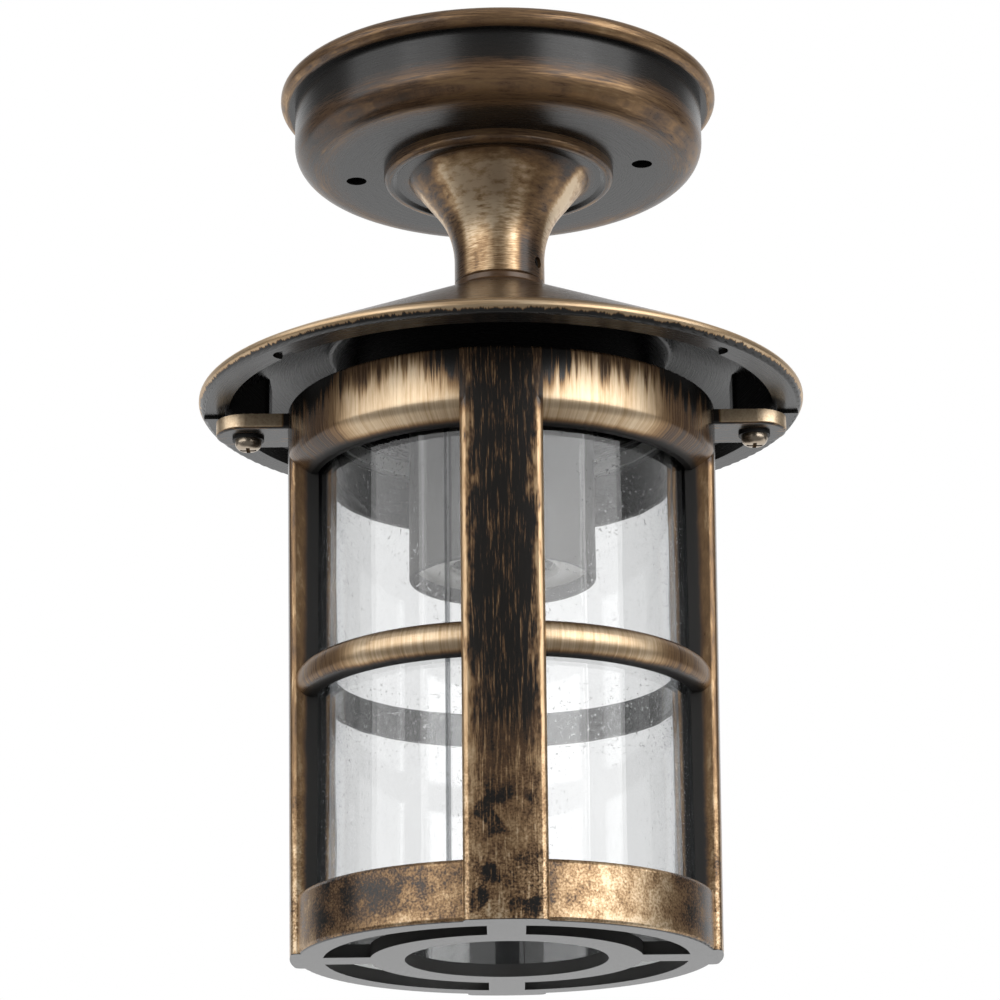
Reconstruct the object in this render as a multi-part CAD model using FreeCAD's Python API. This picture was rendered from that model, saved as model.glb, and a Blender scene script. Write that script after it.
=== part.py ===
"""Porch ceiling lantern: a canopy, a flared stem and a conical hood, with a drop-down glass cage.

Millimetres. The origin is the middle of the canopy's open face, which lies on the ceiling, +Z is up
and the lantern hangs below it. -Y is the front. The cage, its glass and its two screws come off
downwards when the lamp is changed.
"""

import FreeCAD
import Part
import math
import os

V = FreeCAD.Vector
Z_AXIS = V(0, 0, 1)
FRONT_AZIMUTHS = (0, 90, 180, 270)

# ---- clearances -------------------------------------------------------------------------------
FIT_GAP = 0.05          # between pieces of one assembly that are fitted together
SEAT_GAP = 0.2          # between the hood and what is pressed up against it
GLASS_GAP = 0.5         # round the glass inside the cage
THREAD_GAP = 0.1        # round a screw in its plain or tapped hole

# ---- canopy -----------------------------------------------------------------------------------
FLANGE_RADIUS = 59.0
FLANGE_THICKNESS = 5.0
DRUM_RADIUS = 55.1
CANOPY_DEPTH = 22.5
DRUM_CORNER = 7.0
CANOPY_WALL = 3.0
MOUNT_CIRCLE = 78.0     # between the two ceiling screw holes
MOUNT_AZIMUTH = 82.5    # of the right hole, from the front
MOUNT_HOLE_RADIUS = 2.75
PILLAR_RADIUS = 5.5
GASKET_INNER = 53.6
GASKET_WIDTH = 3.0
GASKET_THICKNESS = 1.6

# ---- stem -------------------------------------------------------------------------------------
COLLAR_RADIUS = 31.0
COLLAR_THICKNESS = 3.2
COLLAR_BEAD = 2.4       # width of the raised rim of the collar
COLLAR_RECESS = 0.7     # depth of the collar's face inside the rim
FLARE_RADIUS = 24.3
FLARE_LENGTH = 15.4     # from the collar to where the flare's slope would meet the stem
FLARE_ROUND = 24.0
STEM_RADIUS = 12.05
STEM_BORE = 6.4
STEM_END = 55.1         # below the ceiling, where the hood's neck begins
SOCKET_RADIUS = 8.5
SOCKET_DEPTH = 12.0
GRUB_RADIUS = 1.5
GRUB_LENGTH = 2.6
GRUB_AZIMUTH = 59.0
GRUB_DROP = 50.9        # of the grub screw below the ceiling

# ---- through tube and its nuts ------------------------------------------------------------------
TUBE_RADIUS = 5.0
TUBE_WALL = 1.1
TUBE_ABOVE_NUT = 1.5
WASHER_RADIUS = 9.0
WASHER_THICKNESS = 1.0
WASHER_TEETH = 12
NUT_ACROSS_FLATS = 14.0
NUT_THICKNESS = 4.5

# ---- hood ---------------------------------------------------------------------------------------
NECK_HEIGHT = 2.0
CONE_SLOPE = 0.4615     # fall over run
BRIM_RADIUS = 80.0
RIM_WIDTH = 3.4         # of the rolled edge, outside the cone
RIM_HEIGHT = 4.7        # from the end of the cone to the underside of the lip
RIM_FACE = 1.2          # height of the rim's upright face
LIP_WIDTH = 8.0
HOOD_WALL = 2.6
SKIRT_OUTER = 43.7
SKIRT_WALL = 3.1
SKIRT_PROUD = 1.7       # of the skirt's end below the lip
SEAT_WIDTH = 6.5        # of the flange round the skirt's end, over the glass
SEAT_THICKNESS = 3.3
HUB_RADIUS = 10.0
HUB_END = 80.0          # below the ceiling
BOSS_LENGTH = 11.8      # radial
BOSS_WIDTH = 14.0
BOSS_ROUND = 2.0
DIMPLE_RADIUS = 3.1
DIMPLE_DEPTH = 1.0
DIMPLE_AZIMUTHS = (48, 132, 228, 312)
DIMPLE_CIRCLE = 146.4
NIB_LENGTH = 5.5
NIB_HEIGHT = 0.7
NIB_WIDTH = 1.6

# ---- lampholder -----------------------------------------------------------------------------------
CUP_RADIUS = 24.4
CUP_WALL = 1.4
CUP_PLATE = 3.0
CUP_END = 138.0         # below the ceiling
CORE_RECESS = 3.2       # of the porcelain inside the mouth of the cup
CORE_LENGTH = 41.0
CORE_GAP = 0.3
LAMP_BORE = 13.3
SHELL_WALL = 0.5
SHELL_LENGTH = 22.0
SHELL_LEAD_IN = 2.0     # of porcelain below the shell
CONTACT_RADIUS = 4.5
CONTACT_POCKET = 3.0    # depth of the pocket above the shell
CONTACT_HEIGHT = 3.1
FOOT_RADIUS = 4.2
FOOT_SPACING = 29.0
HOLDER_SCREW_RADIUS = 2.0
HOLDER_SCREW_HEAD = 3.5
HOLDER_HEAD_HEIGHT = 2.2
HOLDER_SCREW_GRIP = 6.0

# ---- cage -------------------------------------------------------------------------------------------
CAGE_HEIGHT = 145.3
CAGE_LAP = 1.3          # of the band above the end of the hood's skirt
CAGE_RADIUS_TOP = 56.5
CAGE_RADIUS_BOTTOM = 55.0
BAND_INNER = 51.0
BAND_LIP_RADIUS = 49.2
BAND_FACE = 15.0        # height of the band down to where it starts to roll in
BAND_LIP = 5.0          # height of the rolled part
BAND_ROLL = 4.0
POST_WIDTH = 20.8
POST_ROUND = 1.8
POST_INNER = 48.9
MID_RING_HEIGHT = 8.8
LOWER_WINDOW = 51.3     # height of the windows under the middle ring
MID_RING_OUTER = 54.3
FOOT_BAND_RADIUS = 53.5
FOOT_BAND_HEIGHT = 15.3
FOOT_BAND_INNER = 50.0
GRILLE_THICKNESS = 3.4
GRILLE_OPENING = 46.6
RING_OUTER = 34.8
RING_INNER = 25.9
SPOKE_WIDTH = 9.5
EAR_TIP = 75.5
EAR_WIDTH = 17.0
EAR_THICKNESS = 4.0
EAR_ROUND = 0.8
CAGE_SCREW_CIRCLE = 134.0
CAGE_SCREW_RADIUS = 2.0
CAGE_SCREW_HEAD = 3.5
CAGE_HEAD_HEIGHT = 2.7
CAGE_SCREW_REACH = 8.2  # of the shank into the hood's boss
CAGE_WASHER_RADIUS = 4.2
CAGE_WASHER_THICKNESS = 0.8
RECESS_WIDTH = 1.0      # arms of a cross recess
RECESS_LENGTH = 4.2
RECESS_DEPTH = 1.5

# ---- glass and its seals -----------------------------------------------------------------------------
GLASS_WALL = 3.0
GLASS_EDGE = 1.2
LOWER_SEAL = 1.5
UPPER_SEAL = 2.0
SEAL_FLANGE = 1.6       # of the upper seal, down the glass

# ---- wiring -----------------------------------------------------------------------------------------
BLOCK_POLES = 3
BLOCK_PITCH = 8.0
BLOCK_DEPTH = 15.0
BLOCK_HEIGHT = 11.0
BLOCK_Y = 30.0
BLOCK_PLATE = 2.2
ENTRY_RADIUS = 1.6
ENTRY_DEPTH = 6.0
ENTRY_HEIGHT = 4.2      # above the block's foot
LEAD_RADIUS = 0.85
LEAD_SPREAD = 2.0       # of each lead from the tube's axis
LEAD_BEND = 4.0
CLAMP_SCREW_RADIUS = 1.9
CLAMP_SCREW_SUNK = 1.0  # below the top of the block
CLAMP_SPACING = 8.1     # between the two screws of a pole
EARTH_POSITION = (-22.0, 20.0)
EARTH_SCREW_RADIUS = 2.0
EARTH_HEAD_RADIUS = 3.6
EARTH_HEAD_HEIGHT = 2.4
EARTH_PAD_HEIGHT = 2.0
EARTH_PAD_RADIUS = 5.0
TAG_THICKNESS = 0.8
TAG_RADIUS = 4.2
TAG_BARREL = 6.0
TAG_BARREL_RADIUS = 1.5

# ---- worked out ---------------------------------------------------------------------------------------
CANOPY_FLOOR = -(CANOPY_DEPTH - CANOPY_WALL)
TUBE_TOP = CANOPY_FLOOR + WASHER_THICKNESS + NUT_THICKNESS + TUBE_ABOVE_NUT
NECK_END = STEM_END + NECK_HEIGHT
BRIM_SHOULDER = BRIM_RADIUS - RIM_WIDTH
BRIM_UNDERSIDE = NECK_END + (BRIM_SHOULDER - STEM_RADIUS) * CONE_SLOPE + RIM_HEIGHT
SKIRT_END = BRIM_UNDERSIDE + SKIRT_PROUD
CUP_TOP = HUB_END
CUP_FLOOR = CUP_TOP + CUP_PLATE
TUBE_END = CUP_FLOOR + NUT_THICKNESS + TUBE_ABOVE_NUT
CORE_END = CUP_END - CORE_RECESS
CORE_TOP = CORE_END - CORE_LENGTH
CORE_RADIUS = CUP_RADIUS - CUP_WALL - CORE_GAP
SHELL_END = CORE_END - SHELL_LEAD_IN
EAR_TOP = SKIRT_END + SEAT_GAP
EAR_BOTTOM = EAR_TOP + EAR_THICKNESS
WASHER_FACE = EAR_BOTTOM + CAGE_WASHER_THICKNESS
CAGE_TOP = SKIRT_END - CAGE_LAP
CAGE_BOTTOM = CAGE_TOP + CAGE_HEIGHT
BAND_EDGE = CAGE_TOP + BAND_FACE
BAND_END = BAND_EDGE + BAND_LIP
FOOT_BAND_TOP = CAGE_BOTTOM - FOOT_BAND_HEIGHT
MID_RING_DROP = FOOT_BAND_TOP - LOWER_WINDOW - MID_RING_HEIGHT / 2
GRILLE_TOP = CAGE_BOTTOM - GRILLE_THICKNESS
GLASS_RADIUS = POST_INNER - GLASS_GAP
GLASS_BOTTOM = GRILLE_TOP - LOWER_SEAL
SEAL_TOP = SKIRT_END + SEAT_GAP
GLASS_TOP = SEAL_TOP + UPPER_SEAL
LIP_INNER = BRIM_RADIUS - LIP_WIDTH
BLOCK_FOOT = CANOPY_FLOOR + BLOCK_PLATE


# ---- helpers --------------------------------------------------------------------------------------------
def rounded_wire(corners, place):
    """Closed wire through corners (a, b, rounding); place turns (a, b) into a point."""
    points = [(c[0], c[1]) for c in corners]
    rounds = [c[2] if len(c) > 2 else 0.0 for c in corners]
    edges = []
    start = None
    last = None
    for i, (here, radius) in enumerate(zip(points, rounds)):
        before, after = points[i - 1], points[(i + 1) % len(points)]
        enter, middle, leave = here, None, here
        if radius > 0:
            enter, middle, leave = corner_arc(before, here, after, radius)
        if last is not None and math.dist(last, enter) > 1e-6:
            edges.append(Part.LineSegment(place(*last), place(*enter)).toShape())
        if middle is not None:
            edges.append(Part.Arc(place(*enter), place(*middle), place(*leave)).toShape())
        start = start or enter
        last = leave
    if math.dist(last, start) > 1e-6:
        edges.append(Part.LineSegment(place(*last), place(*start)).toShape())
    return Part.Wire(edges)


def corner_arc(before, here, after, radius):
    """Start, middle and end of the arc that rounds the corner at here."""
    def unit(p):
        length = math.dist(p, here)
        return ((p[0] - here[0]) / length, (p[1] - here[1]) / length)
    u, w = unit(before), unit(after)
    half = math.acos(max(-1.0, min(1.0, u[0] * w[0] + u[1] * w[1]))) / 2
    tangent = radius / math.tan(half)
    bisector = (u[0] + w[0], u[1] + w[1])
    size = math.hypot(*bisector)
    to_centre = radius / math.sin(half)
    reach = to_centre - radius
    enter = (here[0] + u[0] * tangent, here[1] + u[1] * tangent)
    leave = (here[0] + w[0] * tangent, here[1] + w[1] * tangent)
    middle = (here[0] + bisector[0] / size * reach, here[1] + bisector[1] / size * reach)
    return enter, middle, leave


def turned(corners):
    """Solid of revolution about Z from corners (radius, drop below the ceiling, rounding)."""
    wire = rounded_wire([(c[0], -c[1], *c[2:]) for c in corners], lambda r, z: V(r, 0, z))
    return Part.Face(wire).revolve(V(0, 0, 0), Z_AXIS, 360)


def plate(corners, bottom, top):
    """Flat plate with outline corners (x, y, rounding) between two heights."""
    wire = rounded_wire(corners, lambda x, y: V(x, y, bottom))
    return Part.Face(wire).extrude(V(0, 0, top - bottom))


def rod(radius, bottom, top, x=0.0, y=0.0):
    return Part.makeCylinder(radius, top - bottom, V(x, y, bottom), Z_AXIS)


def ring(outer, inner, bottom, top):
    return rod(outer, bottom, top).cut(rod(inner, bottom - 1, top + 1))


def at(radius, azimuth):
    """Point on the floor plan, with the azimuth from the front towards +X."""
    a = math.radians(azimuth)
    return radius * math.sin(a), -radius * math.cos(a)


def spun(shape, azimuth):
    """Shape built at the front, turned to an azimuth."""
    copy = shape.copy()
    copy.rotate(V(0, 0, 0), Z_AXIS, azimuth)
    return copy


def fused(shapes):
    whole = shapes[0]
    if len(shapes) > 1:
        whole = whole.fuse(shapes[1:])
    return whole.removeSplitter()


def cross_recess(x, y, face, into):
    """Cutter for a cross recess in a screw head; into is +1 when the recess goes up from the face."""
    arms = []
    for long_x, long_y in ((RECESS_LENGTH, RECESS_WIDTH), (RECESS_WIDTH, RECESS_LENGTH)):
        low = face if into > 0 else face - RECESS_DEPTH
        box = Part.makeBox(long_x, long_y, RECESS_DEPTH, V(x - long_x / 2, y - long_y / 2, low))
        arms.append(box)
    return arms[0].fuse(arms[1])


def pan_head(radius, height, face, into):
    """Domed screw head on the Z axis, from its bearing face towards its crown."""
    crown = face - into * height
    profile = rounded_wire(
        [(0, face), (radius, face), (radius, crown, height * 0.75), (0, crown)],
        lambda r, z: V(r, 0, z),
    )
    return Part.Face(profile).revolve(V(0, 0, 0), Z_AXIS, 360)


def nut(bottom, top):
    """Hexagon nut on the through tube."""
    corner = NUT_ACROSS_FLATS / math.sqrt(3)
    points = [V(*at(corner, 60 * i), bottom) for i in range(7)]
    prism = Part.Face(Part.makePolygon(points)).extrude(V(0, 0, top - bottom))
    chamfered = prism.common(turned([
        (0, -top), (corner - 0.6, -top), (corner + 0.1, -top + 0.7),
        (corner + 0.1, -bottom - 0.7), (corner - 0.6, -bottom), (0, -bottom),
    ]))
    return chamfered.cut(rod(TUBE_RADIUS + FIT_GAP, bottom - 1, top + 1))


def routed(points, radius, bend):
    """Round wire along straight runs joined by tangent arcs."""
    edges = []
    last = points[0]
    for before, here, after in zip(points, points[1:], points[2:]):
        u = (before - here).normalize()
        w = (after - here).normalize()
        half = math.acos(max(-1.0, min(1.0, u.dot(w)))) / 2
        tangent = bend / math.tan(half)
        enter, leave = here + u * tangent, here + w * tangent
        bisector = (u + w).normalize()
        middle = here + bisector * (bend / math.sin(half) - bend)
        edges.append(Part.LineSegment(last, enter).toShape())
        edges.append(Part.Arc(enter, middle, leave).toShape())
        last = leave
    edges.append(Part.LineSegment(last, points[-1]).toShape())
    path = Part.Wire(edges)
    start_direction = (points[1] - points[0]).normalize()
    section = Part.Wire(Part.makeCircle(radius, points[0], start_direction))
    return path.makePipeShell([section], True, False)


# ---- canopy ---------------------------------------------------------------------------------------------
def canopy():
    outer = turned([
        (0, 0), (FLANGE_RADIUS, 0, FLANGE_THICKNESS * 0.45),
        (FLANGE_RADIUS, FLANGE_THICKNESS, FLANGE_THICKNESS * 0.45),
        (DRUM_RADIUS, FLANGE_THICKNESS),
        (DRUM_RADIUS, CANOPY_DEPTH, DRUM_CORNER), (0, CANOPY_DEPTH),
    ])
    inside = DRUM_RADIUS - CANOPY_WALL
    hollow = turned([
        (0, -1), (inside, -1), (inside, CANOPY_DEPTH - CANOPY_WALL, DRUM_CORNER - CANOPY_WALL),
        (0, CANOPY_DEPTH - CANOPY_WALL),
    ])
    body = outer.cut(hollow)
    additions = [rod(PILLAR_RADIUS, CANOPY_FLOOR - 0.5, 0, *at(MOUNT_CIRCLE / 2, azimuth))
                 for azimuth in mount_azimuths()]
    additions.append(rod(EARTH_PAD_RADIUS, CANOPY_FLOOR - 0.5, CANOPY_FLOOR + EARTH_PAD_HEIGHT,
                         *EARTH_POSITION))
    additions.append(block_pad())
    body = fused([body] + additions)
    cutters = [rod(MOUNT_HOLE_RADIUS, -CANOPY_DEPTH - 1, 1, *at(MOUNT_CIRCLE / 2, azimuth))
               for azimuth in mount_azimuths()]
    cutters.append(rod(TUBE_RADIUS + THREAD_GAP, -CANOPY_DEPTH - 1, CANOPY_FLOOR + 1))
    cutters.append(ring(GASKET_INNER + GASKET_WIDTH, GASKET_INNER, -GASKET_THICKNESS, 1))
    cutters.append(rod(EARTH_SCREW_RADIUS + FIT_GAP, earth_screw_end(), 0, *EARTH_POSITION))
    cutters.append(rod(EARTH_SCREW_RADIUS + FIT_GAP, block_screw_end(), 0, 0, BLOCK_Y))
    return body.cut(cutters)


def mount_azimuths():
    return MOUNT_AZIMUTH, MOUNT_AZIMUTH + 180


def earth_screw_end():
    return CANOPY_FLOOR - CANOPY_WALL * 0.5


def block_screw_end():
    return CANOPY_FLOOR - CANOPY_WALL * 0.5


def block_outline(bottom, top, grow=0.0):
    half_x = BLOCK_POLES * BLOCK_PITCH / 2 + grow
    half_y = BLOCK_DEPTH / 2 + grow
    return plate([
        (-half_x, BLOCK_Y - half_y, 1.0), (half_x, BLOCK_Y - half_y, 1.0),
        (half_x, BLOCK_Y + half_y, 1.0), (-half_x, BLOCK_Y + half_y, 1.0),
    ], bottom, top)


def block_pad():
    return block_outline(CANOPY_FLOOR - 0.5, BLOCK_FOOT, 1.0)


def ceiling_gasket():
    return ring(GASKET_INNER + GASKET_WIDTH - FIT_GAP, GASKET_INNER + FIT_GAP, -GASKET_THICKNESS, 0)


# ---- stem -----------------------------------------------------------------------------------------------
def stem():
    top = CANOPY_DEPTH
    collar = top + COLLAR_THICKNESS
    face = collar - COLLAR_RECESS
    bead = COLLAR_RADIUS - COLLAR_BEAD
    body = turned([
        (STEM_BORE, top), (COLLAR_RADIUS, top), (COLLAR_RADIUS, collar, 1.4),
        (bead, collar, 0.8), (bead - 1.0, face), (FLARE_RADIUS, face),
        (STEM_RADIUS, face + FLARE_LENGTH, FLARE_ROUND),
        (STEM_RADIUS, STEM_END, 0.5), (SOCKET_RADIUS, STEM_END),
        (SOCKET_RADIUS, STEM_END - SOCKET_DEPTH), (STEM_BORE, STEM_END - SOCKET_DEPTH),
    ])
    return body.cut(grub_rod(GRUB_RADIUS + FIT_GAP, SOCKET_RADIUS - 1, STEM_RADIUS + 1))


def grub_rod(radius, inner, outer):
    """Rod lying along the grub screw's radial axis."""
    x, y = at(1, GRUB_AZIMUTH)
    direction = V(x, y, 0)
    start = direction * inner + V(0, 0, -GRUB_DROP)
    return Part.makeCylinder(radius, outer - inner, start, direction)


def grub_screw():
    seat = SOCKET_RADIUS - FIT_GAP
    body = grub_rod(GRUB_RADIUS, seat, seat + GRUB_LENGTH)
    spigot = rod(seat, -STEM_END, -(STEM_END - SOCKET_DEPTH))
    hexagon = grub_rod(GRUB_RADIUS * 0.5, seat + GRUB_LENGTH * 0.5, seat + GRUB_LENGTH + 1)
    return body.cut([spigot, hexagon])


# ---- through tube ------------------------------------------------------------------------------------------
def through_tube():
    return ring(TUBE_RADIUS, TUBE_RADIUS - TUBE_WALL, -TUBE_END, TUBE_TOP)


def toothed_washer():
    bottom, top = CANOPY_FLOOR, CANOPY_FLOOR + WASHER_THICKNESS
    body = ring(WASHER_RADIUS, TUBE_RADIUS + FIT_GAP, bottom, top)
    notch = 0.7
    pitch = 360 / WASHER_TEETH
    notches = [rod(notch, bottom - 1, top + 1, *at(WASHER_RADIUS, pitch * i))
               for i in range(WASHER_TEETH)]
    return body.cut(notches)


def canopy_nut():
    bottom = CANOPY_FLOOR + WASHER_THICKNESS
    return nut(bottom, bottom + NUT_THICKNESS)


def holder_nut():
    return nut(-CUP_FLOOR - NUT_THICKNESS, -CUP_FLOOR)


# ---- hood ----------------------------------------------------------------------------------------------------
def cone_drop(radius):
    """Drop of the cone's outer face below the ceiling."""
    return NECK_END + (radius - STEM_RADIUS) * CONE_SLOPE


def under_drop(radius):
    """Drop of the cone's inner face below the ceiling."""
    return cone_drop(radius) + HOOD_WALL * math.hypot(1, CONE_SLOPE)


def mid_drop(radius):
    """Drop of the middle of the cone's wall below the ceiling."""
    return (cone_drop(radius) + under_drop(radius)) / 2


def hood():
    skirt_inner = SKIRT_OUTER - SKIRT_WALL
    spigot = SOCKET_RADIUS - FIT_GAP
    bore = TUBE_RADIUS + FIT_GAP
    seat_radius = SKIRT_OUTER + SEAT_WIDTH
    rim_top = (cone_drop(BRIM_SHOULDER) + BRIM_UNDERSIDE - RIM_FACE) / 2
    body = turned([
        (bore, STEM_END - SOCKET_DEPTH + SEAT_GAP), (spigot, STEM_END - SOCKET_DEPTH + SEAT_GAP),
        (spigot, STEM_END), (STEM_RADIUS, STEM_END, 0.4),
        (STEM_RADIUS, NECK_END, 0.6), (BRIM_SHOULDER, cone_drop(BRIM_SHOULDER), 6.0),
        (BRIM_RADIUS, rim_top, 1.0), (BRIM_RADIUS, rim_top + RIM_FACE, 1.0),
        (BRIM_RADIUS - 1.2, BRIM_UNDERSIDE, 1.2),
        (LIP_INNER, BRIM_UNDERSIDE), (LIP_INNER - 0.6, under_drop(LIP_INNER)),
        (SKIRT_OUTER, under_drop(SKIRT_OUTER), 1.5), (SKIRT_OUTER, SKIRT_END - SEAT_THICKNESS),
        (seat_radius, SKIRT_END - SEAT_THICKNESS), (seat_radius, SKIRT_END),
        (skirt_inner, SKIRT_END), (skirt_inner, under_drop(skirt_inner)),
        (HUB_RADIUS + 3, under_drop(HUB_RADIUS + 3)), (HUB_RADIUS, HUB_END),
        (bore, HUB_END),
    ])
    bosses = [spun(screw_boss(), azimuth) for azimuth in (90, 270)]
    nibs = [spun(lip_nib(), azimuth) for azimuth in (90, 270)]
    body = fused([body] + bosses + nibs)
    cutters = [rod(CAGE_SCREW_RADIUS + THREAD_GAP, -SKIRT_END - 1, screw_hole_top(),
                   *at(CAGE_SCREW_CIRCLE / 2, azimuth)) for azimuth in (90, 270)]
    cutters += [rod(DIMPLE_RADIUS, -BRIM_UNDERSIDE - 1, -BRIM_UNDERSIDE + DIMPLE_DEPTH,
                    *at(DIMPLE_CIRCLE / 2, azimuth)) for azimuth in DIMPLE_AZIMUTHS]
    return body.cut(cutters)


def screw_hole_top():
    return -EAR_TOP + CAGE_SCREW_REACH + SEAT_GAP


def screw_boss():
    """Block under the roof that takes a cage screw, built at the front."""
    middle = CAGE_SCREW_CIRCLE / 2
    half, wide = BOSS_LENGTH / 2, BOSS_WIDTH / 2
    block = plate([
        (-wide, -middle - half, BOSS_ROUND), (wide, -middle - half, BOSS_ROUND),
        (wide, -middle + half, BOSS_ROUND), (-wide, -middle + half, BOSS_ROUND),
    ], -SKIRT_END, -STEM_END)
    return block.common(turned([
        (STEM_RADIUS, mid_drop(STEM_RADIUS)), (BRIM_RADIUS, mid_drop(BRIM_RADIUS)),
        (BRIM_RADIUS, SKIRT_END), (STEM_RADIUS, SKIRT_END),
    ]))


def lip_nib():
    """Small ridge on the underside of the lip that points at an ear."""
    middle = (BRIM_RADIUS + LIP_INNER) / 2
    return plate([
        (-NIB_WIDTH / 2, -middle - NIB_LENGTH / 2), (NIB_WIDTH / 2, -middle - NIB_LENGTH / 2),
        (NIB_WIDTH / 2, -middle + NIB_LENGTH / 2), (-NIB_WIDTH / 2, -middle + NIB_LENGTH / 2),
    ], -BRIM_UNDERSIDE - NIB_HEIGHT, -BRIM_UNDERSIDE + 0.5)


# ---- lampholder --------------------------------------------------------------------------------------------
def foot_points():
    return [(FOOT_SPACING / 2, 0.0), (-FOOT_SPACING / 2, 0.0)]


def lampholder_cup():
    inner = CUP_RADIUS - CUP_WALL
    body = turned([
        (TUBE_RADIUS + FIT_GAP, CUP_TOP), (CUP_RADIUS, CUP_TOP, 2.5), (CUP_RADIUS, CUP_END, 0.6),
        (inner, CUP_END, 0.6), (inner, CUP_FLOOR), (TUBE_RADIUS + FIT_GAP, CUP_FLOOR),
    ])
    return body.cut([rod(HOLDER_SCREW_RADIUS + THREAD_GAP, -CUP_FLOOR - 1, -CUP_TOP + 1, x, y)
                     for x, y in foot_points()])


def lampholder_core():
    body = turned([
        (0, CORE_TOP), (CORE_RADIUS, CORE_TOP), (CORE_RADIUS, CORE_END, 1.0),
        (LAMP_BORE + SHELL_WALL, CORE_END, 1.0),
        (LAMP_BORE + SHELL_WALL, SHELL_END - SHELL_LENGTH),
        (CONTACT_RADIUS + 3, SHELL_END - SHELL_LENGTH), (CONTACT_RADIUS + 3, contact_seat()),
        (0, contact_seat()),
    ])
    feet = [rod(FOOT_RADIUS, -CORE_TOP - 0.5, -CUP_FLOOR, x, y) for x, y in foot_points()]
    body = fused([body] + feet)
    cutters = [rod(HOLDER_SCREW_RADIUS + FIT_GAP, holder_screw_end(), -CUP_FLOOR + 1, x, y)
               for x, y in foot_points()]
    cutters += [rod(LEAD_RADIUS + THREAD_GAP, -CORE_TOP - ENTRY_DEPTH, -CORE_TOP + 1, x, y)
                for x, y in lead_points()[:2]]
    return body.cut(cutters)


def contact_seat():
    """Drop of the pocket's roof that carries the centre contact."""
    return SHELL_END - SHELL_LENGTH - CONTACT_POCKET


def holder_screw_end():
    return -CUP_FLOOR - HOLDER_SCREW_GRIP


def screw_shell():
    """Lamp thread liner with its closed end and a hole for the contact."""
    outer = LAMP_BORE + SHELL_WALL - FIT_GAP
    roof = SHELL_END - SHELL_LENGTH
    return turned([
        (CONTACT_RADIUS + 2, roof), (outer, roof), (outer, SHELL_END),
        (LAMP_BORE, SHELL_END), (LAMP_BORE, roof + SHELL_WALL),
        (CONTACT_RADIUS + 2, roof + SHELL_WALL),
    ])


def centre_contact():
    seat = contact_seat()
    return turned([
        (0, seat), (CONTACT_RADIUS, seat), (CONTACT_RADIUS, seat + 0.8),
        (CONTACT_RADIUS * 0.55, seat + CONTACT_HEIGHT, 1.0), (0, seat + CONTACT_HEIGHT),
    ])


def holder_screws():
    made = []
    for x, y in foot_points():
        head = pan_head(HOLDER_SCREW_HEAD, HOLDER_HEAD_HEIGHT, -CUP_TOP, -1)
        head.translate(V(x, y, 0))
        shank = rod(HOLDER_SCREW_RADIUS, holder_screw_end(), -CUP_TOP, x, y)
        crown = -CUP_TOP + HOLDER_HEAD_HEIGHT
        made.append(head.fuse(shank).cut(cross_recess(x, y, crown, -1)))
    return Part.makeCompound(made)


# ---- cage ------------------------------------------------------------------------------------------------
def cage_radius(drop):
    """Radius of the cast outer face, which tapers for its draft."""
    share = (drop - CAGE_TOP) / (CAGE_BOTTOM - CAGE_TOP)
    return CAGE_RADIUS_TOP + (CAGE_RADIUS_BOTTOM - CAGE_RADIUS_TOP) * share


def top_band():
    return turned([
        (BAND_INNER, CAGE_TOP), (CAGE_RADIUS_TOP, CAGE_TOP, 0.8),
        (cage_radius(BAND_EDGE), BAND_EDGE, BAND_ROLL), (BAND_LIP_RADIUS + 1.6, BAND_END - 1.2, 0.6),
        (BAND_LIP_RADIUS, BAND_END - 1.2), (BAND_LIP_RADIUS, BAND_EDGE), (BAND_INNER, BAND_EDGE - 1.8),
    ])


def ear():
    """Screw lug at the front of the band; turned to its side later."""
    middle = CAGE_SCREW_CIRCLE / 2
    half = EAR_WIDTH / 2
    body = plate([
        (-half, -EAR_TIP, half - 0.4), (half, -EAR_TIP, half - 0.4),
        (half, -BAND_INNER - 2.5), (-half, -BAND_INNER - 2.5),
    ], -EAR_BOTTOM, -EAR_TOP)
    rim = [e for e in body.Edges if abs(e.CenterOfMass.z + EAR_BOTTOM) < 1e-3
           and e.BoundBox.YMin < -BAND_INNER - 3]
    body = body.makeFillet(EAR_ROUND, rim)
    return body.cut(rod(CAGE_SCREW_RADIUS + SEAT_GAP, -EAR_BOTTOM - 1, -EAR_TOP + 1, 0, -middle))


def post():
    """Flat upright at the front, with its outer edges rounded."""
    wedge = turned([
        (POST_INNER, BAND_EDGE - 4), (cage_radius(BAND_EDGE - 4), BAND_EDGE - 4),
        (CAGE_RADIUS_BOTTOM, CAGE_BOTTOM), (POST_INNER, CAGE_BOTTOM),
    ])
    slab = Part.makeBox(POST_WIDTH, 2 * CAGE_RADIUS_TOP, CAGE_BOTTOM,
                        V(-POST_WIDTH / 2, -2 * CAGE_RADIUS_TOP, -CAGE_BOTTOM))
    body = wedge.common(slab)
    corners = [e for e in body.Edges if e.BoundBox.ZLength > (CAGE_BOTTOM - BAND_EDGE) / 2
               and math.hypot(e.CenterOfMass.x, e.CenterOfMass.y) > (POST_INNER + CAGE_RADIUS_BOTTOM) / 2]
    return body.makeFillet(POST_ROUND, corners)


def mid_ring():
    half = MID_RING_HEIGHT / 2
    inner = POST_INNER + 0.6
    return turned([
        (inner, MID_RING_DROP - half), (MID_RING_OUTER, MID_RING_DROP - half, half - 0.4),
        (MID_RING_OUTER, MID_RING_DROP + half, half - 0.4), (inner, MID_RING_DROP + half),
    ])


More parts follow.
